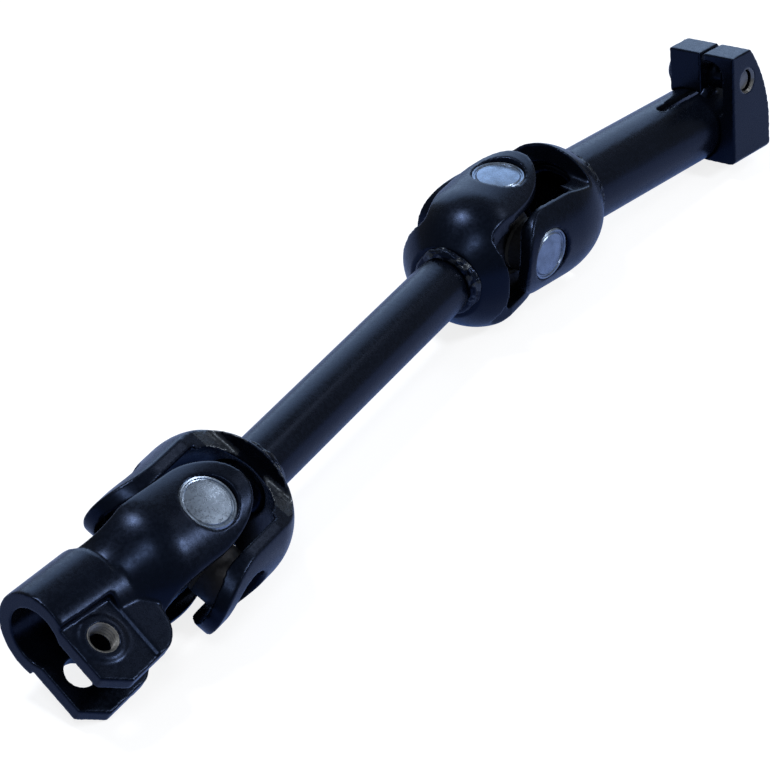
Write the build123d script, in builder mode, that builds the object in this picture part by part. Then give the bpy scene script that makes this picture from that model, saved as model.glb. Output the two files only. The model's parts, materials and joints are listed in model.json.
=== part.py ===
from build123d import *
import math
import os

os.makedirs("parts", exist_ok=True)

# Layout of the shaft. X runs along the clamp yoke's bore from its mouth, Z is up.
clamp_reach = 53.0
joint_spacing = 176.5
tube_reach = 122.5
bar_yaw = 11.0
tube_yaw = 1.3
tube_droop = 4.1
clamp_roll = 30.4

# Bearing cups and crosses.
cup_diameter = 16.0
cup_length = 9.5
cup_floor = 1.6
cup_dome = 0.8
cup_rim = 1.0
cup_running_clearance = 0.04
cup_face_reach = 19.5
trunnion_diameter = 10.0
trunnion_end_gap = 0.3
seal_height = 1.1
seal_width_inset = 0.1
seal_clearance = 0.06
shoulder_gap = 0.3
core_ball_radius = 10.2

# Pressed yokes. The half width, end reach and end oval describe the plan of an ear.
sheet = 4.2
ear_flat_reach = 14.2
ear_flat_start = 16.0
ear_straight = 14.0
ear_rear_taper = 1.6
window_depth = 25.5
window_corner = 1.6
bell_corner = 14.0
bar_yoke_reach = 32.0
bar_yoke_base_radius = 11.5
bar_yoke_base_slope = 1.2
upper_ear_outer_radius = 21.4
upper_ear_half_width = 12.6
upper_ear_end_reach = 13.3
upper_ear_end_oval = 8.0
lower_ear_outer_radius = 22.2
lower_ear_half_width = 13.4
lower_ear_end_reach = 14.6
lower_ear_end_oval = 2.0
tube_yoke_reach = 33.0
tube_yoke_base_radius = 15.5
tube_yoke_base_slope = 0.95
tube_ear_outer_radius = 21.0
tube_ear_half_width = 13.8
tube_ear_end_reach = 11.8
tube_ear_end_oval = 0.0

# Bar, tube and welds.
bar_diameter = 17.4
tube_diameter = 24.0
tube_wall = 2.5
weld_leg = 2.6
slot_width = 2.5
slot_start = 83.0
slot_turn = -3.0

# Clamp section of the lower yoke.
clamp_length = 21.5
clamp_bore = 17.0
clamp_wall = 4.4
clamp_widening = 1.4
leg_gap = 12.5
leg_reach = 25.0
leg_start = 4.0
leg_chamfer_length = 7.0
leg_chamfer_rise = 4.9
leg_lower_taper = 2.0
leg_tail_length = 27.0
leg_tail_reach = 19.0
leg_tail_corner = 4.0
leg_tail_bulge = 1.2
pad_length = 17.2
pad_depth = 0.7
clamp_screw_tap = 6.8
clamp_screw_clearance = 8.6
clamp_screw_from_mouth = 8.1
clamp_screw_from_axis = 11.8
boss_radius = 6.4
boss_height = 0.6
neck_step = 0.6
neck_waist = 11.4
neck_waist_at = 28.0
neck_back = 11.9
clamp_ear_outer_radius = 21.0
clamp_ear_end_reach = 13.6
clamp_ear_front_width = 12.7
clamp_ear_front_oval = 8.0
clamp_ear_back_width = 13.2
clamp_ear_back_neck = 12.6
clamp_ear_neck_at = 19.0
clamp_ear_neck_width = 13.4
neck_web_at = 27.0
neck_web_width = 17.0

# Pinch clamp on the tube.
jaw_inset = 20.3
jaw_length = 20.6
jaw_turn = 8.0
jaw_pocket_clearance = 1.0
jaw_wall = 4.3
jaw_top = 24.9
jaw_roof = 2.5
jaw_roof_fillet = 4.5
jaw_seat_height = 5.0
jaw_bottom = 11.0
jaw_bottom_corner = 1.2
jaw_gap = 1.2
jaw_split = 5.6
lug_far_side = 6.6
jaw_shoulder = 10.4
jaw_shoulder_drop = 24.1
pinch_bolt_diameter = 7.8
pinch_bolt_from_front = 8.0
pinch_bolt_height = 15.2
pinch_bolt_head_radius = 4.9
pinch_bolt_head_height = 3.2
pinch_bolt_recess = 1.8
pinch_bolt_clearance = 0.3
pinch_thread_clearance = 0.05


def turned(direction, about, degrees):
    """The direction after a turn about an axis through the origin."""
    return Vector(*direction).rotate(Axis((0, 0, 0), tuple(about)), degrees)


# Directions of the three shafts and of the four cup axes.
up = Vector(0, 0, 1)
clamp_way = Vector(1, 0, 0)
bar_way = turned(clamp_way, up, bar_yaw)
tube_level = turned(clamp_way, up, tube_yaw)
tube_side = tube_level.cross(up)
tube_way = turned(tube_level, tube_side, -tube_droop)
clamp_pins = turned(up, clamp_way, clamp_roll)
lower_bar_pins = bar_way.cross(clamp_pins).normalized()
upper_bar_pins = up
tube_pins = tube_side

# Centres of the two joints.
lower_centre = clamp_way * clamp_reach
upper_centre = lower_centre + bar_way * joint_spacing

# A yoke's plane: X points out of its open end, Z along its cups.
clamp_seat = Plane(lower_centre, x_dir=clamp_way, z_dir=clamp_pins)
lower_bar_seat = Plane(lower_centre, x_dir=bar_way * -1, z_dir=lower_bar_pins)
upper_bar_seat = Plane(upper_centre, x_dir=bar_way, z_dir=upper_bar_pins)
tube_seat = Plane(upper_centre, x_dir=tube_way * -1, z_dir=tube_pins)


def ear_outline(half_width, end_reach, end_oval, reach, side):
    """Half of a yoke's plan, from the ear's oval end back to its base, closed along the axis."""
    rear_width = half_width - ear_rear_taper
    corner_start = window_corner - window_depth
    with BuildSketch() as plan:
        with BuildLine():
            EllipticalCenterArc((-end_oval, 0), end_reach + end_oval, half_width, arc_size=90)
            Polyline((-end_oval, half_width), (-ear_straight, half_width), (corner_start, rear_width))
            CenterArc((corner_start, rear_width + window_corner), window_corner, 180, 90)
            Polyline(
                (-window_depth, rear_width + window_corner),
                (-window_depth, side),
                (-reach, side),
                (-reach, 0),
                (end_reach, 0),
            )
        make_face()
        mirror(about=Plane.XZ)
    return plan.sketch


def bell_profile(outer, base_radius, base_slope, reach, open_end):
    """Half section of a yoke's bell, from its flat base to its straight mouth."""
    with BuildSketch() as section:
        with BuildLine():
            Line((-reach, 0), (-reach, base_radius))
            Spline(
                (-reach, base_radius),
                (-bell_corner, outer),
                tangents=((1, base_slope), (1, 0)),
            )
            Line((-bell_corner, outer), (open_end, outer))
            Line((open_end, outer), (open_end, 0))
            Line((open_end, 0), (-reach, 0))
        make_face()
    return section.sketch


def pressed_yoke(seat, ear, outer, reach, base_radius, base_slope, shaft_diameter):
    """A bell pressed from sheet, opened by two windows into a pair of ears and bored for its shaft and cups."""
    half_width, end_reach, end_oval = ear
    shaft_axis = Axis(seat.origin, seat.x_dir)
    bore_plane = Plane(seat.origin, x_dir=seat.z_dir, z_dir=seat.x_dir * -1)
    mouth = end_reach + sheet
    with BuildPart() as yoke:
        with BuildSketch(seat):
            add(bell_profile(outer, base_radius, base_slope, reach, mouth))
        revolve(axis=shaft_axis)
        with BuildSketch(seat):
            add(bell_profile(outer - sheet, base_radius - sheet, base_slope, reach - sheet, mouth + 1))
        revolve(axis=shaft_axis, mode=Mode.SUBTRACT)
        with BuildSketch(seat):
            with Locations(((mouth - ear_flat_start) / 2, 0)):
                Rectangle(mouth + ear_flat_start, 3 * outer)
        extrude(amount=ear_flat_reach, both=True, mode=Mode.SUBTRACT)
        with BuildSketch(seat):
            add(ear_outline(half_width, end_reach, end_oval, reach, outer + 1))
        extrude(amount=2 * outer, both=True, mode=Mode.INTERSECT)
        with BuildSketch(seat):
            Circle(cup_diameter / 2)
        extrude(amount=2 * outer, both=True, mode=Mode.SUBTRACT)
        with BuildSketch(bore_plane):
            Circle(shaft_diameter / 2)
        extrude(amount=reach + 1, mode=Mode.SUBTRACT)
    return yoke


lower_bar_yoke = pressed_yoke(
    seat=lower_bar_seat,
    ear=(lower_ear_half_width, lower_ear_end_reach, lower_ear_end_oval),
    outer=lower_ear_outer_radius,
    reach=bar_yoke_reach,
    base_radius=bar_yoke_base_radius,
    base_slope=bar_yoke_base_slope,
    shaft_diameter=bar_diameter,
)
lower_bar_yoke.part.label = "lower_bar_yoke"
upper_bar_yoke = pressed_yoke(
    seat=upper_bar_seat,
    ear=(upper_ear_half_width, upper_ear_end_reach, upper_ear_end_oval),
    outer=upper_ear_outer_radius,
    reach=bar_yoke_reach,
    base_radius=bar_yoke_base_radius,
    base_slope=bar_yoke_base_slope,
    shaft_diameter=bar_diameter,
)
upper_bar_yoke.part.label = "upper_bar_yoke"
tube_yoke = pressed_yoke(
    seat=tube_seat,
    ear=(tube_ear_half_width, tube_ear_end_reach, tube_ear_end_oval),
    outer=tube_ear_outer_radius,
    reach=tube_yoke_reach,
    base_radius=tube_yoke_base_radius,
    base_slope=tube_yoke_base_slope,
    shaft_diameter=tube_diameter,
)
tube_yoke.part.label = "tube_yoke"


def shaft_plane(start, way, across):
    """Plane across a shaft: Z along the shaft, X in the given direction across it."""
    return Plane(start, x_dir=across, z_dir=way)


# Intermediate bar, let into both bar yokes and welded round.
bar_inset = bar_yoke_reach - sheet - 1.0
bar_start = shaft_plane(lower_centre + bar_way * bar_inset, bar_way, up)
with BuildPart() as intermediate_bar:
    with BuildSketch(bar_start):
        Circle(bar_diameter / 2)
    extrude(amount=joint_spacing - 2 * bar_inset)
    chamfer(intermediate_bar.edges().filter_by(GeomType.CIRCLE), length=0.8)
intermediate_bar.part.label = "intermediate_bar"


def weld_bead(seat, reach, shaft_diameter):
    """A round fillet weld where a shaft leaves the base of its yoke."""
    radius = shaft_diameter / 2
    with BuildPart() as bead:
        with BuildSketch(seat):
            with BuildLine():
                Line((-reach, radius), (-reach, radius + weld_leg))
                ThreePointArc(
                    (-reach, radius + weld_leg),
                    (-reach - 0.72 * weld_leg, radius + 0.72 * weld_leg),
                    (-reach - weld_leg, radius),
                )
                Line((-reach - weld_leg, radius), (-reach, radius))
            make_face()
        revolve(axis=Axis(seat.origin, seat.x_dir))
    return bead


lower_bar_weld = weld_bead(lower_bar_seat, bar_yoke_reach, bar_diameter)
lower_bar_weld.part.label = "lower_bar_weld"
upper_bar_weld = weld_bead(upper_bar_seat, bar_yoke_reach, bar_diameter)
upper_bar_weld.part.label = "upper_bar_weld"
tube_weld = weld_bead(tube_seat, tube_yoke_reach, tube_diameter)
tube_weld.part.label = "tube_weld"

# The pinch clamp's own directions, turned a little about the tube.
tube_radius = tube_diameter / 2
jaw_side = turned(tube_side, tube_way, -jaw_turn)
jaw_up = jaw_side.cross(tube_way)
jaw_front = upper_centre + tube_way * (tube_reach - jaw_inset)
jaw_inner = tube_radius + jaw_pocket_clearance
jaw_outer = jaw_inner + jaw_wall
bolt_plane = Plane(
    jaw_front + tube_way * pinch_bolt_from_front + jaw_up * pinch_bolt_height,
    x_dir=tube_way,
    z_dir=jaw_side,
)

# Slotted tube, let into the tube yoke. The pinch bolt lies in a groove across its top.
tube_inset = tube_yoke_reach - sheet - 1.0
tube_up = tube_side.cross(tube_way)
tube_start = shaft_plane(upper_centre + tube_way * tube_inset, tube_way, tube_side)
slot_top = tube_up.rotate(Axis((0, 0, 0), tuple(tube_way)), -slot_turn)
slot_plane = Plane(upper_centre + tube_way * slot_start, x_dir=tube_way, z_dir=slot_top)
with BuildPart() as slotted_tube:
    with BuildSketch(tube_start):
        Circle(tube_radius)
        Circle(tube_radius - tube_wall, mode=Mode.SUBTRACT)
    extrude(amount=tube_reach - tube_inset)
    with BuildSketch(slot_plane):
        with Locations((slot_width / 2, 0)):
            Circle(slot_width / 2)
        with Locations(((tube_reach - slot_start + slot_width) / 2 + slot_width / 2, 0)):
            Rectangle(tube_reach - slot_start + slot_width, slot_width)
    extrude(amount=tube_diameter, mode=Mode.SUBTRACT)
    with BuildSketch(bolt_plane):
        Circle(pinch_bolt_diameter / 2 + pinch_bolt_clearance)
    extrude(amount=tube_radius, both=True, mode=Mode.SUBTRACT)
slotted_tube.part.label = "slotted_tube"


# Crosses with their four trunnions.
trunnion_reach = cup_face_reach - cup_floor - trunnion_end_gap
cup_mouth = cup_face_reach - cup_length
shoulder_reach = cup_mouth - seal_height - shoulder_gap


def joint_cross(centre, pins, other_pins):
    """A forged cross: a ball with four flats, a shoulder and a ground trunnion on each."""
    planes = [Plane(centre, x_dir=other, z_dir=way) for way, other in ((pins, other_pins), (other_pins, pins))]
    with BuildPart() as cross:
        with BuildSketch(planes[0]):
            Rectangle(2 * shoulder_reach, 4 * shoulder_reach)
        extrude(amount=shoulder_reach, both=True)
        with BuildSketch(Plane(centre, x_dir=pins, z_dir=pins.cross(other_pins))):
            Rectangle(2 * shoulder_reach, 2 * shoulder_reach)
        extrude(amount=2 * shoulder_reach, both=True, mode=Mode.INTERSECT)
        with BuildSketch(planes[0]):
            with BuildLine():
                CenterArc((0, 0), core_ball_radius, -90, 180)
                Line((0, core_ball_radius), (0, -core_ball_radius))
            make_face()
        revolve(axis=Axis(centre, planes[0].y_dir), mode=Mode.INTERSECT)
        for plane in planes:
            with BuildSketch(plane):
                Circle(trunnion_diameter / 2)
            extrude(amount=trunnion_reach, both=True)
        ends = cross.edges().filter_by(GeomType.CIRCLE).filter_by(
            lambda edge: (edge.arc_center - centre).length > trunnion_reach - 0.1
        )
        chamfer(ends, length=0.5)
    return cross


lower_cross = joint_cross(lower_centre, clamp_pins, lower_bar_pins)
lower_cross.part.label = "lower_cross"
upper_cross = joint_cross(upper_centre, upper_bar_pins, tube_pins)
upper_cross.part.label = "upper_cross"


def bearing_cup(centre, way, across):
    """A bearing cup with a domed closed end, pressed into an ear over a trunnion."""
    section = Plane(centre, x_dir=way, z_dir=way.cross(across))
    radius = cup_diameter / 2
    inner = trunnion_diameter / 2 + cup_running_clearance
    dome_start = radius - cup_rim
    dome_radius = (dome_start**2 + cup_dome**2) / (2 * cup_dome)
    dome_angle = math.degrees(math.asin(dome_start / dome_radius))
    with BuildPart() as cup:
        with BuildSketch(section):
            with BuildLine():
                Line((cup_mouth, inner), (cup_mouth, radius))
                Line((cup_mouth, radius), (cup_face_reach, radius))
                Line((cup_face_reach, radius), (cup_face_reach, dome_start))
                CenterArc((cup_face_reach + cup_dome - dome_radius, 0), dome_radius, 0, dome_angle)
                Line((cup_face_reach + cup_dome, 0), (cup_face_reach - cup_floor, 0))
                Line((cup_face_reach - cup_floor, 0), (cup_face_reach - cup_floor, inner))
                Line((cup_face_reach - cup_floor, inner), (cup_mouth, inner))
            make_face()
        revolve(axis=Axis(centre, way))
    return cup


def cup_seal(centre, way, across):
    """A rubber ring that closes the mouth of a cup against its trunnion."""
    ring = Plane(centre + way * (cup_mouth - seal_height), x_dir=across, z_dir=way)
    with BuildPart() as seal:
        with BuildSketch(ring):
            Circle(cup_diameter / 2 - seal_width_inset)
            Circle(trunnion_diameter / 2 + seal_clearance, mode=Mode.SUBTRACT)
        extrude(amount=seal_height)
    return seal


cup_places = (
    ("lower_clamp_cup_top", lower_centre, clamp_pins, lower_bar_pins),
    ("lower_clamp_cup_bottom", lower_centre, clamp_pins * -1, lower_bar_pins),
    ("lower_bar_cup_right", lower_centre, lower_bar_pins, clamp_pins),
    ("lower_bar_cup_left", lower_centre, lower_bar_pins * -1, clamp_pins),
    ("upper_bar_cup_top", upper_centre, upper_bar_pins, tube_pins),
    ("upper_bar_cup_bottom", upper_centre, upper_bar_pins * -1, tube_pins),
    ("upper_tube_cup_right", upper_centre, tube_pins, upper_bar_pins),
    ("upper_tube_cup_left", upper_centre, tube_pins * -1, upper_bar_pins),
)
cups_and_seals = []
for cup_name, centre, way, across in cup_places:
    cup = bearing_cup(centre, way, across)
    cup.part.label = cup_name
    seal = cup_seal(centre, way, across)
    seal.part.label = cup_name.replace("cup", "seal")
    cups_and_seals += [cup, seal]

# Lower clamp yoke: a keyhole section bent from sheet, opening through a neck into a bell with two ears.
bore_radius = clamp_bore / 2
clamp_outer = bore_radius + clamp_wall
pad_reach = leg_gap / 2 + clamp_wall
leg_outer = pad_reach + pad_depth
neck_reach = clamp_reach - clamp_length
neck_outer = clamp_outer + clamp_widening - neck_step
clamp_taper = math.degrees(math.atan(clamp_widening / clamp_length))
clamp_ear_mouth = clamp_ear_end_reach + sheet
clamp_out = clamp_way.cross(clamp_pins)
mouth_centre = lower_centre - clamp_way * clamp_reach
clamp_section_plane = Plane(mouth_centre, x_dir=clamp_out, z_dir=clamp_way)
clamp_side_plane = Plane(mouth_centre, x_dir=clamp_way, z_dir=clamp_pins * -1)
boss_plane = Plane(mouth_centre + clamp_pins * pad_reach, x_dir=clamp_way, z_dir=clamp_pins)

with BuildPart() as clamp_section:
    with BuildSketch(clamp_section_plane):
        Circle(clamp_outer)
    extrude(amount=leg_tail_length, taper=-clamp_taper)
    with BuildSketch(clamp_section_plane):
        with Locations((leg_reach / 2, 0)):
            Rectangle(leg_reach, 2 * leg_outer)
    extrude(amount=leg_tail_length)
    with BuildSketch(clamp_side_plane):
        with BuildLine():
            Polyline(
                (leg_tail_length, leg_tail_reach - leg_tail_corner),
                (leg_tail_length, 0),
                (clamp_length, 0),
                (clamp_length, -2 * clamp_outer),
                (0, -2 * clamp_outer),
                (0, leg_reach - leg_chamfer_rise),
                (leg_chamfer_length, leg_reach),
                (clamp_length, leg_reach - leg_lower_taper),
            )
            ThreePointArc(
                (clamp_length, leg_reach - leg_lower_taper),
                (leg_tail_length - leg_tail_bulge, leg_tail_reach),
                (leg_tail_length, leg_tail_reach - leg_tail_corner),
            )
        make_face()
    extrude(amount=2 * clamp_outer, both=True, mode=Mode.INTERSECT)

with BuildPart() as lower_clamp_yoke:
    with BuildSketch(clamp_seat):
        with BuildLine():
            Line((-neck_reach, 0), (-neck_reach, neck_outer))
            Spline(
                (-neck_reach, neck_outer),
                (-bell_corner, clamp_ear_outer_radius),
                tangents=((1, 0.35), (1, 0)),
            )
            Polyline(
                (-bell_corner, clamp_ear_outer_radius),
                (clamp_ear_mouth, clamp_ear_outer_radius),
                (clamp_ear_mouth, 0),
                (-neck_reach, 0),
            )
        make_face()
    revolve(axis=Axis(lower_centre, clamp_way))
    with BuildSketch(clamp_seat):
        with BuildLine():
            Line((-neck_reach, 0), (-neck_reach, bore_radius))
            Spline(
                (-neck_reach, bore_radius),
                (-bell_corner, clamp_ear_outer_radius - sheet),
                tangents=((1, 0.35), (1, 0)),
            )
            Polyline(
                (-bell_corner, clamp_ear_outer_radius - sheet),
                (clamp_ear_mouth + 1, clamp_ear_outer_radius - sheet),
                (clamp_ear_mouth + 1, 0),
                (-neck_reach, 0),
            )
        make_face()
    revolve(axis=Axis(lower_centre, clamp_way), mode=Mode.SUBTRACT)
    with BuildSketch(clamp_seat):
        with Locations(((clamp_ear_mouth - ear_flat_start) / 2, 0)):
            Rectangle(clamp_ear_mouth + ear_flat_start, 3 * clamp_ear_outer_radius)
    extrude(amount=ear_flat_reach, both=True, mode=Mode.SUBTRACT)
    with BuildSketch(clamp_seat):
        with BuildLine():
            EllipticalCenterArc((0, 0), clamp_ear_end_reach, clamp_ear_back_width, arc_size=90)
            Line((0, clamp_ear_back_width), (-clamp_ear_neck_at, clamp_ear_back_neck))
            Spline(
                (-clamp_ear_neck_at, clamp_ear_back_neck),
                (-neck_waist_at, neck_waist),
                (-neck_reach, neck_back),
            )
            Polyline(
                (-neck_reach, neck_back),
                (-neck_reach, -neck_web_width),
                (-neck_web_at, -neck_web_width),
            )
            Spline(
                (-neck_web_at, -neck_web_width),
                (-clamp_ear_neck_at, -clamp_ear_neck_width),
                tangents=((0.6, 1), (1, 0.05)),
            )
            Line(
                (-clamp_ear_neck_at, -clamp_ear_neck_width),
                (-clamp_ear_front_oval, -clamp_ear_front_width),
            )
            EllipticalCenterArc(
                (-clamp_ear_front_oval, 0),
                clamp_ear_end_reach + clamp_ear_front_oval,
                clamp_ear_front_width,
                start_angle=270,
                arc_size=90,
            )
        make_face()
    extrude(amount=2 * clamp_ear_outer_radius, both=True, mode=Mode.INTERSECT)
    with BuildSketch(clamp_seat):
        Circle(cup_diameter / 2)
    extrude(amount=2 * clamp_ear_outer_radius, both=True, mode=Mode.SUBTRACT)
    add(clamp_section.part)
    with BuildSketch(clamp_section_plane):
        Circle(bore_radius)
        with Locations((leg_reach / 2 + 1, 0)):
            Rectangle(leg_reach + 2, leg_gap)
    extrude(amount=leg_tail_length + 1, mode=Mode.SUBTRACT)
    with BuildSketch(clamp_section_plane):
        with Locations((leg_start + leg_reach / 2, 0)):
            Rectangle(leg_reach, 4 * leg_outer)
            Rectangle(leg_reach, 2 * pad_reach, mode=Mode.SUBTRACT)
    extrude(amount=pad_length, mode=Mode.SUBTRACT)
    with BuildSketch(boss_plane):
        with Locations((clamp_screw_from_mouth, -clamp_screw_from_axis)):
            Circle(boss_radius)
    extrude(amount=boss_height, taper=20)
    with BuildSketch(clamp_side_plane):
        with Locations((clamp_screw_from_mouth, clamp_screw_from_axis)):
            Circle(clamp_screw_tap / 2)
    extrude(amount=-2 * clamp_outer, mode=Mode.SUBTRACT)
    with BuildSketch(clamp_side_plane):
        with Locations((clamp_screw_from_mouth, clamp_screw_from_axis)):
            Circle(clamp_screw_clearance / 2)
    extrude(amount=2 * clamp_outer, mode=Mode.SUBTRACT)
lower_clamp_yoke.part.label = "lower_clamp_yoke"

# Pinch clamp at the tube's open end: a hollow jaw on its near side, a lug on its top and their bolt.
jaw_end_plane = Plane(jaw_front + tube_way * jaw_length, x_dir=jaw_side, z_dir=tube_way * -1)
jaw_side_plane = Plane(jaw_front, x_dir=tube_way, z_dir=jaw_side)
jaw_split_edge = jaw_split + jaw_gap / 2
lug_near_side = jaw_split - jaw_gap / 2
jaw_ceiling = jaw_top - jaw_roof
seat_edge = math.sqrt(tube_radius**2 - jaw_seat_height**2)
bottom_edge = math.sqrt(tube_radius**2 - jaw_bottom**2)

with BuildSketch(jaw_side_plane) as shoulder_cut:
    with BuildLine():
        Spline(
            (jaw_shoulder, jaw_top),
            (jaw_shoulder + 0.58 * (jaw_length - jaw_shoulder), jaw_top - 0.386 * jaw_shoulder_drop),
            (jaw_length, jaw_top - jaw_shoulder_drop),
        )
        Polyline(
            (jaw_length, jaw_top - jaw_shoulder_drop),
            (jaw_length + 1, jaw_top - jaw_shoulder_drop),
            (jaw_length + 1, jaw_top + 1),
            (jaw_shoulder, jaw_top + 1),
            (jaw_shoulder, jaw_top),
        )
    make_face()

with BuildPart() as clamp_jaw:
    with BuildSketch(jaw_end_plane):
        with BuildLine():
            ThreePointArc((seat_edge, jaw_seat_height), (tube_radius, 0), (bottom_edge, -jaw_bottom))
            Polyline(
                (bottom_edge, -jaw_bottom),
                (jaw_outer - jaw_bottom_corner, -jaw_bottom),
                (jaw_outer, jaw_bottom_corner - jaw_bottom),
                (jaw_outer, jaw_top),
                (jaw_split_edge, jaw_top),
                (jaw_split_edge, jaw_ceiling),
                (jaw_inner - jaw_roof_fillet, jaw_ceiling),
            )
            CenterArc((jaw_inner - jaw_roof_fillet, jaw_ceiling - jaw_roof_fillet), jaw_roof_fillet, 0, 90)
            Polyline(
                (jaw_inner, jaw_ceiling - jaw_roof_fillet),
                (jaw_inner, jaw_seat_height),
                (seat_edge, jaw_seat_height),
            )
        make_face()
    extrude(amount=jaw_length)
    extrude(shoulder_cut.sketch, amount=2 * jaw_outer, both=True, mode=Mode.SUBTRACT)
    with BuildSketch(bolt_plane):
        Circle(pinch_bolt_diameter / 2 + pinch_thread_clearance)
    extrude(amount=2 * jaw_outer, mode=Mode.SUBTRACT)
clamp_jaw.part.label = "clamp_jaw"

with BuildPart() as clamp_lug:
    with BuildSketch(jaw_end_plane):
        with Locations(((lug_near_side - lug_far_side) / 2, jaw_top / 2)):
            Rectangle(lug_near_side + lug_far_side, jaw_top)
        Circle(tube_radius, mode=Mode.SUBTRACT)
    extrude(amount=jaw_length)
    extrude(shoulder_cut.sketch, amount=2 * jaw_outer, both=True, mode=Mode.SUBTRACT)
    with BuildSketch(bolt_plane):
        Circle(pinch_bolt_diameter / 2 + pinch_bolt_clearance)
    extrude(amount=jaw_outer, both=True, mode=Mode.SUBTRACT)
clamp_lug.part.label = "clamp_lug"

with BuildPart() as clamp_bolt:
    with BuildSketch(bolt_plane.offset(-lug_far_side - pinch_bolt_head_height)):
        Circle(pinch_bolt_head_radius)
    extrude(amount=pinch_bolt_head_height)
    chamfer(clamp_bolt.edges().sort_by(Axis(bolt_plane.origin, bolt_plane.z_dir))[0], length=0.8)
    with BuildSketch(bolt_plane.offset(-lug_far_side)):
        Circle(pinch_bolt_diameter / 2)
    extrude(amount=lug_far_side + jaw_outer - pinch_bolt_recess)
clamp_bolt.part.label = "clamp_bolt"

shafts_and_yokes = [
    lower_clamp_yoke,
    lower_bar_yoke,
    upper_bar_yoke,
    tube_yoke,
    lower_cross,
    upper_cross,
    intermediate_bar,
    slotted_tube,
    lower_bar_weld,
    upper_bar_weld,
    tube_weld,
    clamp_jaw,
    clamp_lug,
    clamp_bolt,
]
for piece in shafts_and_yokes + cups_and_seals:
    export_step(piece.part, f"parts/{piece.part.label}.step")
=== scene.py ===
import json
import math

import bmesh
import bpy
from bpy.props import FloatProperty, FloatVectorProperty, IntProperty, PointerProperty
from mathutils import Matrix, Vector, noise


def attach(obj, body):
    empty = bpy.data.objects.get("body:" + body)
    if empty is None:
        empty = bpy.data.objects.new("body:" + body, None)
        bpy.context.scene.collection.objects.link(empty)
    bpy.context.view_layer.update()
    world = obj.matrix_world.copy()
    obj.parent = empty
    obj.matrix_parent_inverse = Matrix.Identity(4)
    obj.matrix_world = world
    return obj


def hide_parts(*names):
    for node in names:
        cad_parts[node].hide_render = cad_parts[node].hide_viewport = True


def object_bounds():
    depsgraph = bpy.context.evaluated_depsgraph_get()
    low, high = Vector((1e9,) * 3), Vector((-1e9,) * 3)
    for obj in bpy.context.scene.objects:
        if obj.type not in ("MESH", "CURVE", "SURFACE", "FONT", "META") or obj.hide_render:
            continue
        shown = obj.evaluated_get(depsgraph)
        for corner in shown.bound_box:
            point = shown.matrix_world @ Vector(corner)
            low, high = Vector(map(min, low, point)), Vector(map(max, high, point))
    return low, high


bl_info = {
    "name": "Steering Shaft",
    "version": (1, 0, 0),
    "blender": (4, 5, 0),
    "location": "View3D > Sidebar > Shaft",
    "description": "Builds the looks of a double-jointed steering shaft around its CAD frame",
    "category": "Object",
}

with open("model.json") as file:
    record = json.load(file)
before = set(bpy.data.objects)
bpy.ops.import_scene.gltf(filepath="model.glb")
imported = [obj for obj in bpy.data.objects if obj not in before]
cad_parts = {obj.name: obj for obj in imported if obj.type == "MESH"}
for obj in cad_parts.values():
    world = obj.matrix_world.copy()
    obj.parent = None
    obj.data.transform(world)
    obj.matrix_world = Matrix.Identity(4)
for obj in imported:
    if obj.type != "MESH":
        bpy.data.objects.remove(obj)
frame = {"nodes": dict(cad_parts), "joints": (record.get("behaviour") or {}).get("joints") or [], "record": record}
CAD_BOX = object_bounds()
NODES = frame["nodes"]
JOINTS = {joint["name"]: joint for joint in frame["joints"]}
RECORD_MOUNTS = {mount["name"]: mount for mount in frame["record"]["mounts"]}

LOWER_CENTRE = Vector(JOINTS["lower_cross_swing"]["pos_m"])
UPPER_CENTRE = Vector(JOINTS["upper_cross_swing"]["pos_m"])
BAR_WAY = (UPPER_CENTRE - LOWER_CENTRE).normalized()
TUBE_WAY = Vector(RECORD_MOUNTS["tube_bore"]["axis"]).normalized()
CLAMP_PINS = Vector(JOINTS["clamp_yoke_swing"]["axis"]).normalized()
LOWER_BAR_PINS = Vector(JOINTS["lower_cross_swing"]["axis"]).normalized()
UPPER_BAR_PINS = Vector((0, 0, 1))
TUBE_PINS = Vector(JOINTS["tube_yoke_swing"]["axis"]).normalized()

# The pinch bolt is turned a little about the tube from the upper joint's pins.
BOLT_TURN = math.radians(-8)
BOLT_WAY = Matrix.Rotation(BOLT_TURN, 3, TUBE_WAY) @ TUBE_PINS

# The side of the welds on which the bead stands highest and roughest.
BEAD_SIDE = Vector((0.11, -0.58, 0.81))

ROUND_STEPS = 64
CUP_STEPS = 72
SHARP_ANGLE = math.radians(28)

CAMERA_PLACE = (-0.4217, -0.4648, 0.4864)
CAMERA_WAY = Vector((0.6398, 0.5349, -0.5519))

CUPS = {
    "lower_clamp_cup_top": ("clamp_yoke_assembly", LOWER_CENTRE, CLAMP_PINS),
    "lower_clamp_cup_bottom": ("clamp_yoke_assembly", LOWER_CENTRE, -CLAMP_PINS),
    "lower_bar_cup_right": ("bar_assembly", LOWER_CENTRE, LOWER_BAR_PINS),
    "lower_bar_cup_left": ("bar_assembly", LOWER_CENTRE, -LOWER_BAR_PINS),
    "upper_bar_cup_top": ("bar_assembly", UPPER_CENTRE, UPPER_BAR_PINS),
    "upper_bar_cup_bottom": ("bar_assembly", UPPER_CENTRE, -UPPER_BAR_PINS),
    "upper_tube_cup_right": ("tube_assembly", UPPER_CENTRE, TUBE_PINS),
    "upper_tube_cup_left": ("tube_assembly", UPPER_CENTRE, -TUBE_PINS),
}


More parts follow.
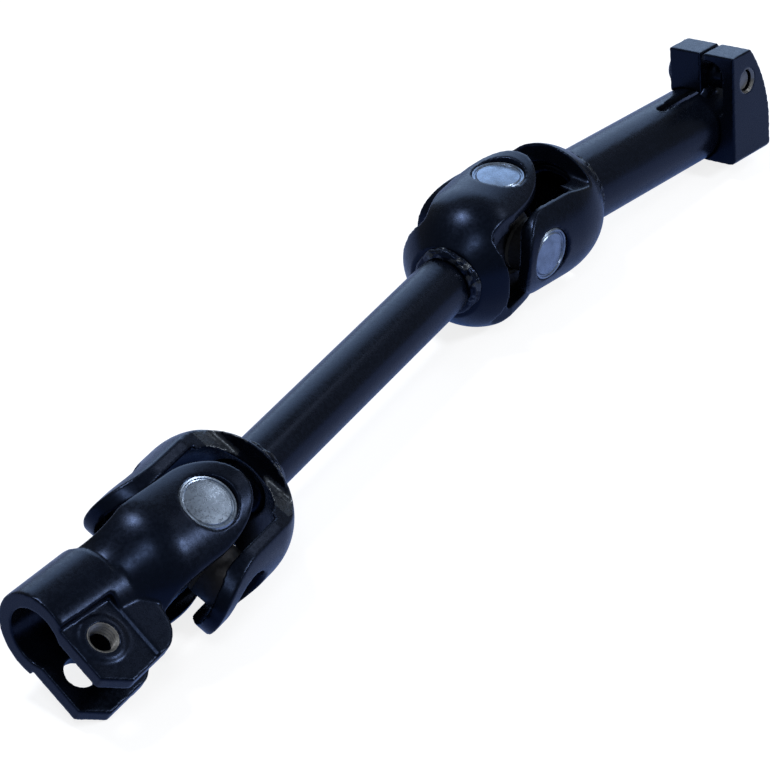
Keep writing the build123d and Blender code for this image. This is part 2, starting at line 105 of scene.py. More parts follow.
class ShaftSizes(bpy.types.PropertyGroup):
    """Sizes of the surface work on the shaft's pieces."""

    sheet_grain: FloatProperty(
        name="Sheet grain", description="Grid size of the rounded sheet-metal skins",
        default=0.00039, unit="LENGTH",
    )
    tube_grain: FloatProperty(
        name="Tube grain", description="Grid size of the tube's rounded skin",
        default=0.0007, unit="LENGTH",
    )
    clamp_grain: FloatProperty(
        name="Clamp grain", description="Grid size of the pinch clamp's rounded skins",
        default=0.00035, unit="LENGTH",
    )
    forging_grain: FloatProperty(
        name="Forging grain", description="Grid size of the crosses' rounded skins",
        default=0.0004, unit="LENGTH",
    )
    weld_grain: FloatProperty(
        name="Weld grain", description="Grid size of the weld beads' skins",
        default=0.0003, unit="LENGTH",
    )
    edge_passes: IntProperty(
        name="Edge passes", description="Smoothing passes that round the pressed edges",
        default=11,
    )
    tube_passes: IntProperty(
        name="Tube passes", description="Smoothing passes that round the bar's and tube's edges",
        default=4,
    )
    clamp_passes: IntProperty(
        name="Clamp passes", description="Smoothing passes that round the pinch clamp's edges",
        default=6,
    )
    forging_passes: IntProperty(
        name="Forging passes", description="Smoothing passes that round the crosses' edges",
        default=4,
    )
    weld_passes: IntProperty(
        name="Weld passes", description="Smoothing passes that round the weld beads", default=3,
    )
    cup_radius: FloatProperty(
        name="Cup radius", description="Outside radius of a bearing cup",
        default=0.008, unit="LENGTH",
    )
    cup_face: FloatProperty(
        name="Cup face", description="Distance from the joint's centre to a cup's face",
        default=0.0195, unit="LENGTH",
    )
    cup_dome: FloatProperty(
        name="Cup dome", description="Rise of a cup's domed face", default=0.0004, unit="LENGTH",
    )
    bead_ripple: FloatProperty(
        name="Bead ripple", description="Depth of the ripples in a weld bead",
        default=0.0008, unit="LENGTH",
    )
    bead_sink: FloatProperty(
        name="Bead sink", description="How far a weld bead sinks where it is thin",
        default=0.0012, unit="LENGTH",
    )
    window_depth: FloatProperty(
        name="Window depth",
        description="Distance from a joint's centre to the end of the yoke's window",
        default=0.0255, unit="LENGTH",
    )
    thread_pitch: FloatProperty(
        name="Thread pitch", description="Pitch of the clamps' screw threads",
        default=0.00125, unit="LENGTH",
    )
    thread_crest: FloatProperty(
        name="Thread crest", description="Inside radius of a tapped hole", default=0.0034, unit="LENGTH",
    )
    thread_root: FloatProperty(
        name="Thread root", description="Radius at the bottom of a tapped hole's thread",
        default=0.004, unit="LENGTH",
    )


class ShaftFinish(bpy.types.PropertyGroup):
    """Colours and gloss of the shaft's finishes."""

    paint: FloatVectorProperty(
        name="Paint", description="Colour of the blue-black paint", subtype="COLOR", size=4,
        default=(0.0010, 0.0015, 0.0032, 1.0),
    )
    paint_sheen: FloatVectorProperty(
        name="Paint sheen", description="Tint of the reflections in the paint", subtype="COLOR", size=4,
        default=(0.36, 0.52, 1.0, 1.0),
    )
    paint_roughness: FloatProperty(
        name="Paint roughness", description="Roughness of the paint's gloss",
        default=0.26, subtype="FACTOR",
    )
    paint_index: FloatProperty(
        name="Paint index", description="Refractive index of the paint", default=1.3,
    )
    cap_steel: FloatVectorProperty(
        name="Cap steel", description="Colour of the bearing cups", subtype="COLOR", size=4,
        default=(0.20, 0.245, 0.32, 1.0),
    )
    forged_steel: FloatVectorProperty(
        name="Forged steel", description="Colour of the crosses", subtype="COLOR", size=4,
        default=(0.03, 0.03, 0.034, 1.0),
    )
    thread_steel: FloatVectorProperty(
        name="Thread steel", description="Colour of the bolt and the threads", subtype="COLOR", size=4,
        default=(0.17, 0.168, 0.165, 1.0),
    )
    rough_paint: FloatVectorProperty(
        name="Rough paint", description="Colour of the paint over welds and sheared edges",
        subtype="COLOR", size=4, default=(0.004, 0.005, 0.008, 1.0),
    )
    rubber: FloatVectorProperty(
        name="Rubber", description="Colour of the seals", subtype="COLOR", size=4,
        default=(0.02, 0.02, 0.022, 1.0),
    )


class ShaftStage(bpy.types.PropertyGroup):
    """Floor, light and camera."""

    floor_colour: FloatVectorProperty(
        name="Floor", description="Colour of the floor", subtype="COLOR", size=4,
        default=(0.28, 0.28, 0.29, 1.0),
    )
    room_colour: FloatVectorProperty(
        name="Room light", description="Colour of the light from all round", subtype="COLOR", size=4,
        default=(0.88, 0.94, 1.0, 1.0),
    )
    room_strength: FloatProperty(
        name="Room strength", description="Strength of the light from all round", default=0.25,
    )
    lamp_colour: FloatVectorProperty(
        name="Lamp colour", description="Colour of the softboxes", subtype="COLOR", size=4,
        default=(0.94, 0.97, 1.0, 1.0),
    )
    rear_colour: FloatVectorProperty(
        name="Rear colour", description="Colour of the softbox behind", subtype="COLOR", size=4,
        default=(0.45, 0.66, 1.0, 1.0),
    )
    rear_power: FloatProperty(
        name="Rear power", description="Power of the softbox behind, in watts", default=7.7,
    )
    overhead_power: FloatProperty(
        name="Overhead power", description="Power of the softbox above, in watts", default=0.5,
    )
    top_power: FloatProperty(
        name="Top power", description="Power of the small lamp above and behind, in watts", default=5.6,
    )
    right_power: FloatProperty(
        name="Right power", description="Power of the small lamp on the right, in watts", default=4.4,
    )
    front_power: FloatProperty(
        name="Front power", description="Power of the small lamp by the camera, in watts", default=1.7,
    )
    floor_glow: FloatProperty(
        name="Floor glow", description="How much the floor shines on its own in the view", default=0.82,
    )
    floor_mirrored: FloatVectorProperty(
        name="Mirrored floor", description="Colour that the floor's glow has in reflections",
        subtype="COLOR", size=4, default=(0.10, 0.20, 0.54, 1.0),
    )
    lens: FloatProperty(
        name="Lens", description="Focal length on a 36 mm sensor, in millimetres", default=149.6,
    )


def sizes():
    return bpy.context.scene.shaft_sizes


def finish():
    return bpy.context.scene.shaft_finish


def new_material(name, colour, metallic, roughness):
    """A principled material and its node tree, ready for texture nodes."""
    material = bpy.data.materials.new(name)
    material.use_nodes = True
    shader = material.node_tree.nodes["Principled BSDF"]
    shader.inputs["Base Color"].default_value = colour
    shader.inputs["Metallic"].default_value = metallic
    shader.inputs["Roughness"].default_value = roughness
    return material, shader


def add_noise(material, scale, detail=4.0, stretch=(1.0, 1.0, 1.0)):
    """A noise texture on object coordinates."""
    tree = material.node_tree
    place = tree.nodes.new("ShaderNodeTexCoord")
    mapping = tree.nodes.new("ShaderNodeMapping")
    mapping.inputs["Scale"].default_value = stretch
    texture = tree.nodes.new("ShaderNodeTexNoise")
    texture.inputs["Scale"].default_value = scale
    texture.inputs["Detail"].default_value = detail
    tree.links.new(place.outputs["Object"], mapping.inputs["Vector"])
    tree.links.new(mapping.outputs["Vector"], texture.inputs["Vector"])
    return texture


def vary(material, texture, socket, low, high, start=0.3, end=0.7):
    """Drives a number or colour socket of the shader from a texture, between two values."""
    tree = material.node_tree
    shader = tree.nodes["Principled BSDF"]
    if isinstance(low, (int, float)):
        node = tree.nodes.new("ShaderNodeMapRange")
        node.inputs["From Min"].default_value = start
        node.inputs["From Max"].default_value = end
        node.inputs["To Min"].default_value = low
        node.inputs["To Max"].default_value = high
        tree.links.new(texture.outputs["Fac"], node.inputs["Value"])
        tree.links.new(node.outputs["Result"], shader.inputs[socket])
        return
    node = tree.nodes.new("ShaderNodeValToRGB")
    node.color_ramp.elements[0].position = start
    node.color_ramp.elements[0].color = low
    node.color_ramp.elements[1].position = end
    node.color_ramp.elements[1].color = high
    tree.links.new(texture.outputs["Fac"], node.inputs["Fac"])
    tree.links.new(node.outputs["Color"], shader.inputs[socket])


def bump(material, layers):
    """Stacks bumps from (texture, depth in metres, strength) layers onto the shader's normal."""
    tree = material.node_tree
    last = None
    for texture, depth, strength in layers:
        node = tree.nodes.new("ShaderNodeBump")
        node.inputs["Distance"].default_value = depth
        node.inputs["Strength"].default_value = strength
        tree.links.new(texture.outputs["Fac"], node.inputs["Height"])
        if last:
            tree.links.new(last.outputs["Normal"], node.inputs["Normal"])
        last = node
    tree.links.new(last.outputs["Normal"], tree.nodes["Principled BSDF"].inputs["Normal"])


def shade(colour, factor):
    """The colour made lighter or darker by a factor."""
    return (colour[0] * factor, colour[1] * factor, colour[2] * factor, 1.0)


def paint_material():
    material = bpy.data.materials.get("blue_black_paint")
    if material:
        return material
    look = finish()
    material, shader = new_material("blue_black_paint", look.paint, 0.0, look.paint_roughness)
    shader.inputs["Specular Tint"].default_value = look.paint_sheen
    shader.inputs["IOR"].default_value = look.paint_index
    broad = add_noise(material, 60.0)
    fine = add_noise(material, 900.0, 6.0)
    dull, gloss = look.paint_roughness + 0.08, look.paint_roughness - 0.05
    vary(material, broad, "Base Color", shade(look.paint, 0.7), shade(look.paint, 1.7))
    vary(material, fine, "Roughness", gloss, dull)
    bump(material, [(broad, 0.0002, 0.2), (fine, 0.00003, 0.25)])
    return material


def rough_paint_material():
    """Paint over a weld or a sheared edge, where the rough metal under it catches the light."""
    material = bpy.data.materials.get("rough_blue_black_paint")
    if material:
        return material
    look = finish()
    material, shader = new_material("rough_blue_black_paint", look.rough_paint, 0.0, 0.36)
    shader.inputs["Specular Tint"].default_value = (0.75, 0.85, 1.0, 1.0)
    shader.inputs["IOR"].default_value = 1.55
    lumps = add_noise(material, 500.0, 6.0)
    fine = add_noise(material, 1600.0, 6.0)
    vary(material, lumps, "Base Color", shade(look.rough_paint, 0.5), shade(look.rough_paint, 1.6))
    vary(material, fine, "Roughness", 0.22, 0.4)
    bump(material, [(lumps, 0.0003, 0.6), (fine, 0.0001, 0.4)])
    return material


def slot_painted_shade_material():
    """Painted shade on the walls of a slot: the paint made darker and almost without gloss, so that the slot shows
    black.
    """
    material = bpy.data.materials.get("slot_painted_shade")
    if material:
        return material
    colour = shade(finish().paint, 0.8)
    material, shader = new_material("slot_painted_shade", colour, 0.0, 0.7)
    shader.inputs["IOR"].default_value = 1.12
    fine = add_noise(material, 700.0)
    vary(material, fine, "Base Color", shade(colour, 0.7), shade(colour, 1.4))
    vary(material, fine, "Roughness", 0.6, 0.8)
    bump(material, [(fine, 0.00005, 0.3)])
    return material


def steel_material(name, colour, roughness, scale, depth):
    material = bpy.data.materials.get(name)
    if material:
        return material
    material, shader = new_material(name, colour, 0.85, roughness)
    fine = add_noise(material, scale, 8.0)
    broad = add_noise(material, scale * 0.2, 4.0)
    vary(material, broad, "Base Color", shade(colour, 0.72), shade(colour, 1.15))
    vary(material, fine, "Roughness", roughness - 0.08, roughness + 0.12)
    bump(material, [(fine, depth, 0.4)])
    return material


def cap_material():
    return steel_material("drawn_cap_steel", finish().cap_steel, 0.29, 1400.0, 0.00004)


def cross_material():
    return steel_material("forged_cross_steel", finish().forged_steel, 0.5, 700.0, 0.0001)


def thread_material():
    return steel_material("bright_thread_steel", finish().thread_steel, 0.32, 1800.0, 0.00004)


def rubber_material():
    material = bpy.data.materials.get("seal_rubber")
    if material:
        return material
    look = finish()
    material, shader = new_material("seal_rubber", look.rubber, 0.0, 0.6)
    fine = add_noise(material, 1500.0)
    vary(material, fine, "Base Color", shade(look.rubber, 0.8), shade(look.rubber, 1.3))
    vary(material, fine, "Roughness", 0.5, 0.72)
    bump(material, [(fine, 0.00005, 0.4)])
    return material


def floor_material(look):
    """A matt floor that shows white to the camera and bluish in reflections, and still takes shadows."""
    material, shader = new_material("pale_floor", look.floor_colour, 0.0, 0.85)
    shader.inputs["Specular IOR Level"].default_value = 0.1
    vary(material, add_noise(material, 8.0), "Roughness", 0.8, 0.9)
    tree = material.node_tree
    path = tree.nodes.new("ShaderNodeLightPath")
    whole = shader.outputs["BSDF"]
    glow = (look.floor_glow, look.floor_glow, look.floor_glow, 1.0)
    for ray, colour in (
        ("Is Camera Ray", glow),
        ("Is Transmission Ray", glow),
        ("Is Glossy Ray", look.floor_mirrored),
    ):
        shine = tree.nodes.new("ShaderNodeEmission")
        shine.inputs["Color"].default_value = colour
        tree.links.new(path.outputs[ray], shine.inputs["Strength"])
        both = tree.nodes.new("ShaderNodeAddShader")
        tree.links.new(whole, both.inputs[0])
        tree.links.new(shine.outputs["Emission"], both.inputs[1])
        whole = both.outputs["Shader"]
    tree.links.new(whole, tree.nodes["Material Output"].inputs["Surface"])
    return material


def second_finish(mesh, material, chosen):
    """Gives the faces that pass the chosen test the piece's second finish."""
    mesh.materials.append(material)
    for polygon in mesh.polygons:
        if chosen(polygon):
            polygon.material_index = 1


def place_piece(name, mesh, material, body, replaced=()):
    """Puts a finished mesh in the scene as a piece of the shaft."""
    mesh.materials.clear()
    mesh.materials.append(material)
    piece = bpy.data.objects.new(name, mesh)
    bpy.context.scene.collection.objects.link(piece)
    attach(piece, body)
    if replaced:
        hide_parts(*replaced)
    return piece


def rounded_skin(node, grain, passes):
    """A closed copy of a CAD node's skin with its edges rounded as pressing and paint leave them."""
    merge_distance = 0.000002
    copy = bmesh.new()
    copy.from_mesh(NODES[node].data)
    bmesh.ops.remove_doubles(copy, verts=copy.verts, dist=merge_distance)
    mesh = bpy.data.meshes.new(node + "_skin")
    copy.to_mesh(mesh)
    copy.free()
    work = bpy.data.objects.new(node + "_work", mesh)
    bpy.context.scene.collection.objects.link(work)
    remesh = work.modifiers.new("Remesh", "REMESH")
    remesh.mode = "VOXEL"
    remesh.voxel_size = grain
    remesh.use_smooth_shade = True
    smooth = work.modifiers.new("Smooth", "SMOOTH")
    smooth.factor = 0.5
    smooth.iterations = passes
    graph = bpy.context.evaluated_depsgraph_get()
    done = bpy.data.meshes.new_from_object(work.evaluated_get(graph))
    bpy.data.objects.remove(work)
    bpy.data.meshes.remove(mesh)
    return done


def soften(mesh, chosen, passes):
    """Smooths part of a skin further: the vertices whose place passes the chosen test."""
    shape = bmesh.new()
    shape.from_mesh(mesh)
    near = [vertex for vertex in shape.verts if chosen(vertex.co)]
    for _ in range(passes):
        bmesh.ops.smooth_vert(
            shape, verts=near, factor=0.5, use_axis_x=True, use_axis_y=True, use_axis_z=True,
        )
    shape.to_mesh(mesh)
    shape.free()


def widen_hole(mesh, middle, way, half_length, drawn, cut):
    """Widens a round hole in a skin from the drawn radius to the cut one."""
    margin, core = 0.0004, 0.001
    reach = 2 * cut - drawn + margin
    for vertex in mesh.vertices:
        away = vertex.co - middle
        along = away.dot(way)
        across = away - way * along
        radius = across.length
        if core < radius < reach and abs(along) < half_length:
            wider = cut + (radius - drawn) * (reach - cut) / (reach - drawn)
            vertex.co += across * (wider / radius - 1)


def thread_profile(low, high, crest, root):
    """Zigzag of (distance, radius) pairs along a thread, from one root to the last."""
    pitch = sizes().thread_pitch
    turns = max(1, round((high - low) / pitch))
    step = (high - low) / turns
    crest_start, crest_end = 0.45, 0.55
    points = [(low, root)]
    for turn in range(turns):
        points += [(low + (turn + part) * step, crest) for part in (crest_start, crest_end)]
        points += [(low + (turn + 1) * step, root)]
    return points


def thread_ring(name, middle, way, half_length):
    """The bright thread of a tapped hole, as a thin ring let into its wall."""
    crest, root = sizes().thread_crest, sizes().thread_root
    wall = 0.0002
    outer = root + wall
    profile = [(-half_length, outer)] + thread_profile(-half_length, half_length, crest, root)
    profile += [(half_length, outer)]
    return turned_mesh(name, profile + profile[:1], middle, way, ROUND_STEPS)


def turned_mesh(name, profile, centre, way, steps):
    """A closed turned solid, from (distance along the axis, radius) pairs.

    The pairs start and end on the axis, or come back to where they start.
    """
    merge_distance = 0.0000005
    shape = bmesh.new()
    turn = way.to_track_quat("Z", "Y").to_matrix().to_4x4()
    points = [shape.verts.new((radius, 0, along)) for along, radius in profile]
    edges = [shape.edges.new(pair) for pair in zip(points, points[1:])]
    bmesh.ops.spin(
        shape, geom=points + edges, cent=(0, 0, 0), axis=(0, 0, 1), angle=math.tau,
        steps=steps, use_merge=True,
    )
    bmesh.ops.remove_doubles(shape, verts=shape.verts, dist=merge_distance)
    bmesh.ops.recalc_face_normals(shape, faces=shape.faces)
    bmesh.ops.transform(shape, matrix=Matrix.Translation(centre) @ turn, verts=shape.verts)
    mesh = bpy.data.meshes.new(name)
    shape.to_mesh(mesh)
    shape.free()
    mesh.shade_smooth()
    mesh.set_sharp_from_angle(angle=SHARP_ANGLE)
    return mesh


class SHAFT_OT_yokes(bpy.types.Operator):
    """Lower clamp yoke, the two bar yokes and the tube yoke, with rounded pressed edges"""

    bl_idname = "shaft.yokes"
    bl_label = "Yokes"

    def execute(self, context):
        window_passes, boss_passes = 12, 10
        for node, body in (
            ("lower_clamp_yoke", "clamp_yoke_assembly"),
            ("lower_bar_yoke", "bar_assembly"),
            ("upper_bar_yoke", "bar_assembly"),
            ("tube_yoke", "tube_assembly"),
        ):
            mesh = rounded_skin(node, sizes().sheet_grain, sizes().edge_passes)
            if node == "lower_bar_yoke":
                soften(mesh, self.at_window_end, window_passes)
            if node == "lower_clamp_yoke":
                soften(mesh, self.at_boss, boss_passes)
                self.tap_hole(mesh)
            place_piece("painted_" + node, mesh, paint_material(), body, (node,))
            if node == "lower_bar_yoke":
                second_finish(mesh, rough_paint_material(), self.at_sheared_edge)
        return {"FINISHED"}

    @staticmethod
    def at_sheared_edge(face):
        """Whether a face of the lower bar yoke is on the rough edge from its window to an ear."""
        wall, outward_part = 0.0112, 0.25
        lowest, highest = 0.0045, 0.0165
        nearest, farthest = 0.0195, 0.0262
        away = face.center - LOWER_CENTRE
        side = BAR_WAY.cross(LOWER_BAR_PINS)
        across = away.dot(side)
        return (
            abs(across) > wall
            and face.normal.dot(side) * math.copysign(1, across) > outward_part
            and lowest < abs(away.dot(LOWER_BAR_PINS)) < highest
            and nearest < away.dot(BAR_WAY) < farthest
        )

    @staticmethod
    def at_window_end(place):
        """Whether a place is near the end of the lower bar yoke's window."""
        half_length, half_width = 0.0025, 0.011
        away = place - LOWER_CENTRE
        return (
            abs(away.dot(BAR_WAY) - sizes().window_depth) < half_length
            and abs(away.dot(LOWER_BAR_PINS)) < half_width
        )

    @staticmethod
    def at_boss(place):
        """Whether a place is on the ring round the tapped hole."""
        top, bottom, inner, outer = -0.004, -0.0015, 0.0045, 0.0085
        mount = RECORD_MOUNTS["clamp_screw_thread"]
        way = Vector(mount["axis"])
        away = place - Vector(mount["pos_m"])
        along = away.dot(way)
        return top < along < bottom and inner < (away - way * along).length < outer

    @staticmethod
    def tap_hole(mesh):
        """Opens the near leg's hole for its thread and puts the thread in."""
        mount = RECORD_MOUNTS["clamp_screw_thread"]
        middle, way = Vector(mount["pos_m"]), Vector(mount["axis"]).normalized()
        crest, root = sizes().thread_crest, sizes().thread_root
        hole_half, thread_half, slack = 0.004, 0.0023, 0.0001
        widen_hole(mesh, middle, way, hole_half, crest, root + slack)
        ring = thread_ring("clamp_screw_thread", middle, way, thread_half)
        place_piece(
            "clamp_screw_thread", ring, thread_material(), "clamp_yoke_assembly",
        )


class SHAFT_OT_shafts(bpy.types.Operator):
    """Intermediate bar and slotted tube"""

    bl_idname = "shaft.shafts"
    bl_label = "Bar and tube"

    def execute(self, context):
        for node, body in (("intermediate_bar", "bar_assembly"), ("slotted_tube", "tube_assembly")):
            mesh = rounded_skin(node, sizes().tube_grain, sizes().tube_passes)
            if node == "slotted_tube":
                self.raise_lug_bead(mesh)
            place_piece("painted_" + node, mesh, paint_material(), body, (node,))
            if node == "slotted_tube":
                # The walls of the slot get painted shade: the paint made darker and duller there.
                second_finish(mesh, slot_painted_shade_material(), self.in_slot)
        return {"FINISHED"}

    @staticmethod
    def raise_lug_bead(mesh):
        """Raises the low bead that joins the clamp's lug to the tube, on the side of the slot."""
        jaw_up = BOLT_WAY.cross(TUBE_WAY)
        start, fading, end = 0.1025, 0.1082, 0.1096
        middle, half_width, height = 0.0052, 0.0015, 0.0022
        inside_wall = 0.0108
        for vertex in mesh.vertices:
            away = vertex.co - UPPER_CENTRE
            along = away.dot(TUBE_WAY)
            outward = away - TUBE_WAY * along
            rise = 1 - ((away.dot(BOLT_WAY) - middle) / half_width) ** 2
            near = start < along < end and rise > 0 and away.dot(jaw_up) > 0
            if near and outward.length > inside_wall:
                fade = min(1.0, (end - along) / (end - fading))
                vertex.co += outward.normalized() * height * rise * fade

    @staticmethod
    def in_slot(face):
        """Whether a face of the tube is a wall of its slot, which faces round the tube."""
        most = 0.6
        away = face.center - UPPER_CENTRE
        outward = (away - TUBE_WAY * away.dot(TUBE_WAY)).normalized()
        return abs(face.normal.dot(outward)) < most and abs(face.normal.dot(TUBE_WAY)) < most


class SHAFT_OT_pinch_clamp(bpy.types.Operator):
    """Jaw, lug and bolt of the tube's pinch clamp"""

    bl_idname = "shaft.pinch_clamp"
    bl_label = "Pinch clamp"

    def execute(self, context):
        for node in ("clamp_jaw", "clamp_lug"):
            mesh = rounded_skin(node, sizes().clamp_grain, sizes().clamp_passes)
            place_piece(
                "painted_" + node, mesh, paint_material(), "tube_assembly", (node,),
            )
        self.bolt()
        return {"FINISHED"}

    @staticmethod
    def bolt():
        """A bolt with a low round head, a painted shank and a bright threaded tip."""
        across = BOLT_WAY.cross(TUBE_WAY)
        places = [vertex.co for vertex in NODES["clamp_bolt"].data.vertices]
        spans = [
            (min(place.dot(axis) for place in places), max(place.dot(axis) for place in places))
            for axis in (BOLT_WAY, TUBE_WAY, across)
        ]
        low, high = spans[0]
        centre = TUBE_WAY * sum(spans[1]) / 2 + across * sum(spans[2]) / 2
        slack = 0.0001
        radius = sizes().thread_root - slack
        head, head_radius, head_flat, head_chamfer = 0.0032, 0.0049, 0.0041, 0.0008
        thread, neck, thread_depth, tip = 0.0052, 0.0006, 0.0006, 0.0004
        tip_hollow = 0.0003
        profile = [(low, 0.0), (low, head_flat), (low + head_chamfer, head_radius)]
        profile += [(low + head, head_radius), (low + head, radius)]
        profile += [(high - thread - neck, radius)]
        profile += thread_profile(high - thread, high - tip, radius, radius - thread_depth)
        profile += [(high, radius - 0.0009), (high - tip_hollow, radius - 0.0016)]
        profile += [(high - tip_hollow, 0.0)]
        mesh = turned_mesh("pinch_bolt", profile, centre, BOLT_WAY, ROUND_STEPS)
        steel = thread_material()
        place_piece("pinch_bolt", mesh, steel, "tube_assembly", ("clamp_bolt",))
        second_finish(mesh, paint_material(), lambda face: face.center.dot(BOLT_WAY) < high - thread)

        beyond_tip, half_length = 0.0009, 0.0008
        middle = centre + BOLT_WAY * (high + beyond_tip)
        ring = thread_ring("pinch_screw_thread", middle, BOLT_WAY, half_length)
        place_piece("pinch_screw_thread", ring, steel, "tube_assembly")


class SHAFT_OT_bearings(bpy.types.Operator):
    """Crosses, bearing cups and their seals"""

    bl_idname = "shaft.bearings"
    bl_label = "Crosses and bearings"

    def execute(self, context):
        for node in ("lower_cross", "upper_cross"):
            mesh = rounded_skin(node, sizes().forging_grain, sizes().forging_passes)
            place_piece("forged_" + node, mesh, cross_material(), node, (node,))
        for node, (body, centre, way) in CUPS.items():
            mesh = turned_mesh(node, self.cup_profile(), centre, way, CUP_STEPS)
            place_piece("drawn_" + node, mesh, cap_material(), body, (node,))
            skirt = sizes().cup_face - 0.0006
            second_finish(mesh, cross_material(), lambda part: (part.center - centre).dot(way) < skirt)
        for node, obj in NODES.items():
            if "_seal_" in node:
                obj.data.materials.clear()
                obj.data.materials.append(rubber_material())
        return {"FINISHED"}

    @staticmethod
    def cup_profile():
        """The outline of a bearing cup, from the top of its dome to the end of its bore."""
        size = sizes()
        radius, face, dome = size.cup_radius, size.cup_face, size.cup_dome
        rings, dome_edge = 8, 0.79
        bore, mouth = 0.00504, 0.01
        profile = [
            (face + dome * (1 - (ring / rings) ** 2), radius * dome_edge * ring / rings)
            for ring in range(rings + 1)
        ]
        # The pressed groove round the dome
        profile += [(face - 0.0002, radius * 0.81), (face - 0.0004, radius * 0.845)]
        # The rim
        profile += [(face - 0.0003, radius * 0.88), (face + 0.0001, radius * 0.9)]
        profile += [(face + 0.0002, radius * 0.95), (face - 0.0003, radius)]
        # The skirt, and the bore that a trunnion turns in
        profile += [(0.0101, radius), (mouth, radius - 0.0002), (mouth, 0.0052), (0.0101, bore)]
        profile += [(face - 0.0017, bore), (face - 0.0016, 0.0)]
        return profile


class SHAFT_OT_welds(bpy.types.Operator):
    """Rough weld beads where the bar and the tube leave their yokes"""

    bl_idname = "shaft.welds"
    bl_label = "Welds"

    def execute(self, context):
        for node, body, way in (
            ("lower_bar_weld", "bar_assembly", BAR_WAY),
            ("upper_bar_weld", "bar_assembly", -BAR_WAY),
            ("tube_weld", "tube_assembly", TUBE_WAY),
        ):
            mesh = rounded_skin(node, sizes().weld_grain, sizes().weld_passes)
            centre = sum((vertex.co for vertex in mesh.vertices), Vector()) / len(mesh.vertices)
            self.ripple(mesh, centre, way)
            place_piece("rough_" + node, mesh, paint_material(), body, (node,))
            second_finish(mesh, rough_paint_material(), lambda face: self.at_spatter(face, centre))
        return {"FINISHED"}

    @staticmethod
    def ripple(mesh, centre, way):
        """Ripples a bead most on its rough side, where it stands out, and sinks the rest of it."""
        size = sizes()
        streak_scale, streak_stretch, fine_scale = 210.0, 900.0, 2.3
        least_ripple, sink_part, stand_out = 0.25, 0.7, 0.0004
        for vertex in mesh.vertices:
            away = vertex.co - centre
            along = away.dot(way)
            across = (away - way * along).normalized()
            rough = min(1.0, max(0.0, across.dot(BEAD_SIDE) * 1.6 - 0.2))
            streaks = away * streak_scale + way * along * streak_stretch
            ripple = noise.noise(streaks) + 0.5 * noise.noise(streaks * fine_scale)
            depth = least_ripple + (1 - least_ripple) * rough
            sink = size.bead_sink * (1 - rough) * sink_part - stand_out * rough
            vertex.co += vertex.normal * ripple * size.bead_ripple * depth
            vertex.co -= (across + way) * sink

    @staticmethod
    def at_spatter(face, centre):
        """Whether a face of a weld is in one of the rough patches on its bead's rough side."""
        patch_scale, patch_level, side_part = 520.0, 0.08, 0.3
        return (
            noise.noise(face.center * patch_scale) > patch_level
            and (face.center - centre).normalized().dot(BEAD_SIDE) > side_part
        )


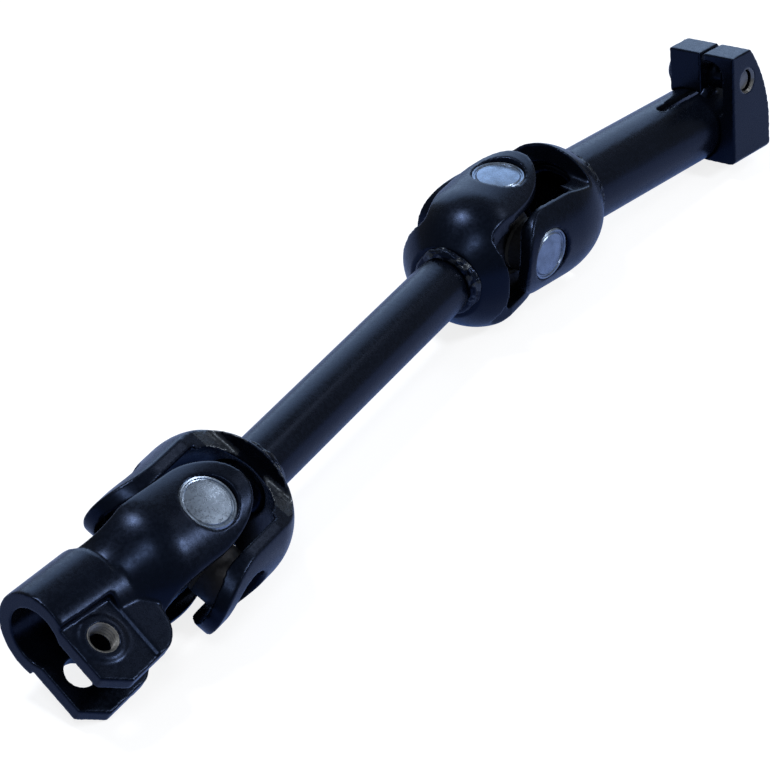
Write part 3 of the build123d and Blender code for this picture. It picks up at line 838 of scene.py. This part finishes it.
class SHAFT_OT_stage(bpy.types.Operator):
    """Floor, soft light and the camera"""

    bl_idname = "shaft.stage"
    bl_label = "Stage"

    def execute(self, context):
        scene = context.scene
        self.floor(scene)
        self.lights(scene)
        self.camera(scene)
        scene.view_settings.view_transform = "Standard"
        return {"FINISHED"}

    @staticmethod
    def floor(scene):
        """The floor, just under the shaft."""
        half_size, gap = 6.0, 0.0002
        lowest = CAD_BOX[0][2]
        shape = bmesh.new()
        bmesh.ops.create_grid(shape, x_segments=1, y_segments=1, size=half_size)
        bmesh.ops.translate(shape, vec=(0, 0, lowest - gap), verts=shape.verts)
        mesh = bpy.data.meshes.new("floor")
        shape.to_mesh(mesh)
        shape.free()
        floor = bpy.data.objects.new("floor", mesh)
        mesh.materials.append(floor_material(scene.shaft_stage))
        scene.collection.objects.link(floor)

    @staticmethod
    def lights(scene):
        """Light from all round, and five lamps aimed at the middle of the shaft."""
        look = scene.shaft_stage
        world = bpy.data.worlds.new("studio")
        scene.world = world
        world.use_nodes = True
        room = world.node_tree.nodes["Background"]
        room.inputs["Color"].default_value = look.room_colour
        room.inputs["Strength"].default_value = look.room_strength

        middle = (Vector(CAD_BOX[0]) + Vector(CAD_BOX[1])) / 2
        # Azimuth and elevation are in degrees, distance, width and height in metres.
        for name, azimuth, elevation, distance, width, height, power, colour in (
            ("rear_softbox", 42, 22, 1.3, 1.3, 0.9, look.rear_power, look.rear_colour),
            ("overhead_softbox", -20, 49, 1.0, 0.3, 0.16, look.overhead_power, look.lamp_colour),
            ("top_lamp", 122, 70, 1.0, 0.22, 0.22, look.top_power, look.lamp_colour),
            ("right_lamp", -62, 37, 1.0, 0.22, 0.22, look.right_power, look.lamp_colour),
            ("front_lamp", -146, 49, 1.0, 0.26, 0.26, look.front_power, look.lamp_colour),
        ):
            lamp = bpy.data.lights.new(name, "AREA")
            lamp.shape = "RECTANGLE" if name.endswith("softbox") else "ELLIPSE"
            lamp.size = width
            lamp.size_y = height
            lamp.energy = power
            lamp.color = colour[:3]
            light = bpy.data.objects.new(name, lamp)
            flat = math.cos(math.radians(elevation))
            way = Vector((
                flat * math.cos(math.radians(azimuth)),
                flat * math.sin(math.radians(azimuth)),
                math.sin(math.radians(elevation)),
            ))
            light.location = middle + way * distance
            light.rotation_euler = (-way).to_track_quat("-Z", "Y").to_euler()
            scene.collection.objects.link(light)

    @staticmethod
    def camera(scene):
        """The camera, where the photograph was taken from."""
        camera = bpy.data.cameras.new("camera")
        camera.lens = scene.shaft_stage.lens
        camera.sensor_width = 36.0
        camera.clip_start = 0.01
        view = bpy.data.objects.new("camera", camera)
        view.location = CAMERA_PLACE
        view.rotation_euler = CAMERA_WAY.to_track_quat("-Z", "Y").to_euler()
        scene.collection.objects.link(view)
        scene.camera = view


class SHAFT_PT_panel(bpy.types.Panel):
    """Lists the shaft's pieces"""

    bl_idname = "SHAFT_PT_panel"
    bl_label = "Steering Shaft"
    bl_space_type = "VIEW_3D"
    bl_region_type = "UI"
    bl_category = "Shaft"

    def draw(self, context):
        column = self.layout.column()
        for group in (context.scene.shaft_sizes, context.scene.shaft_finish, context.scene.shaft_stage):
            for name in group.__annotations__:
                column.prop(group, name)
        for operator in OPERATORS:
            column.operator(operator.bl_idname)


OPERATORS = (
    SHAFT_OT_yokes,
    SHAFT_OT_shafts,
    SHAFT_OT_pinch_clamp,
    SHAFT_OT_bearings,
    SHAFT_OT_welds,
    SHAFT_OT_stage,
)
GROUPS = (("shaft_sizes", ShaftSizes), ("shaft_finish", ShaftFinish), ("shaft_stage", ShaftStage))


def register():
    for _, group in GROUPS:
        bpy.utils.register_class(group)
    for operator in OPERATORS:
        bpy.utils.register_class(operator)
    bpy.utils.register_class(SHAFT_PT_panel)
    for name, group in GROUPS:
        setattr(bpy.types.Scene, name, PointerProperty(type=group))


def unregister():
    for name, _ in GROUPS:
        delattr(bpy.types.Scene, name)
    bpy.utils.unregister_class(SHAFT_PT_panel)
    for operator in reversed(OPERATORS):
        bpy.utils.unregister_class(operator)
    for _, group in reversed(GROUPS):
        bpy.utils.unregister_class(group)


def main():
    register()
    bpy.ops.shaft.yokes()
    bpy.ops.shaft.shafts()
    bpy.ops.shaft.pinch_clamp()
    bpy.ops.shaft.bearings()
    bpy.ops.shaft.welds()
    bpy.ops.shaft.stage()


if __name__ == "__main__":
    main()
